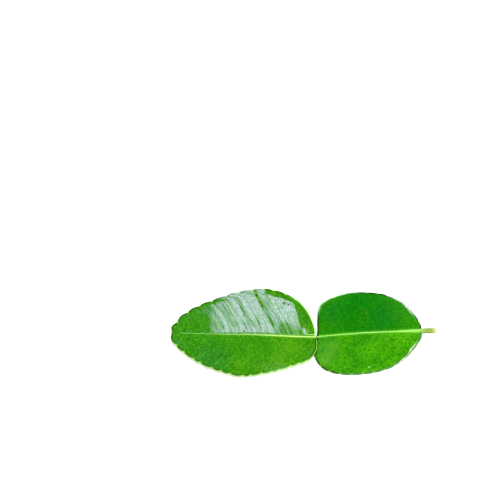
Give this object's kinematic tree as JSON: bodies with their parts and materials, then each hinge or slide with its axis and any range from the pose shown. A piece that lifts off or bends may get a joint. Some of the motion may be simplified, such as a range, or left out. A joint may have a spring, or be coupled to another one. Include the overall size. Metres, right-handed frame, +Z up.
{
  "type": "kaffir lime leaf",
  "caption": "Picked citrus leaf lying face up: an ovate blade with a scalloped edge, jointed at a narrow waist to a broadly winged stalk that ends in a cut stub.",
  "frame": {"origin": "on the surface that the leaf lies on, under the middle of the leaf's outline", "axes": "+X along the leaf from the blade's tip to the cut stub, +Y across it towards the half of the blade that is folded up, +Z up from the surface"},
  "size_m": [0.1282, 0.0478, 0.0072],
  "materials": {
    "blade_green": "waxy, glossy where the light strikes it; fresh mid green",
    "wing_green": "waxy satin; fresh deep green"
  },
  "bodies": {
    "root": {"leaf_blade": "blade_green", "winged_petiole": "wing_green"}
  },
  "joints": []
}
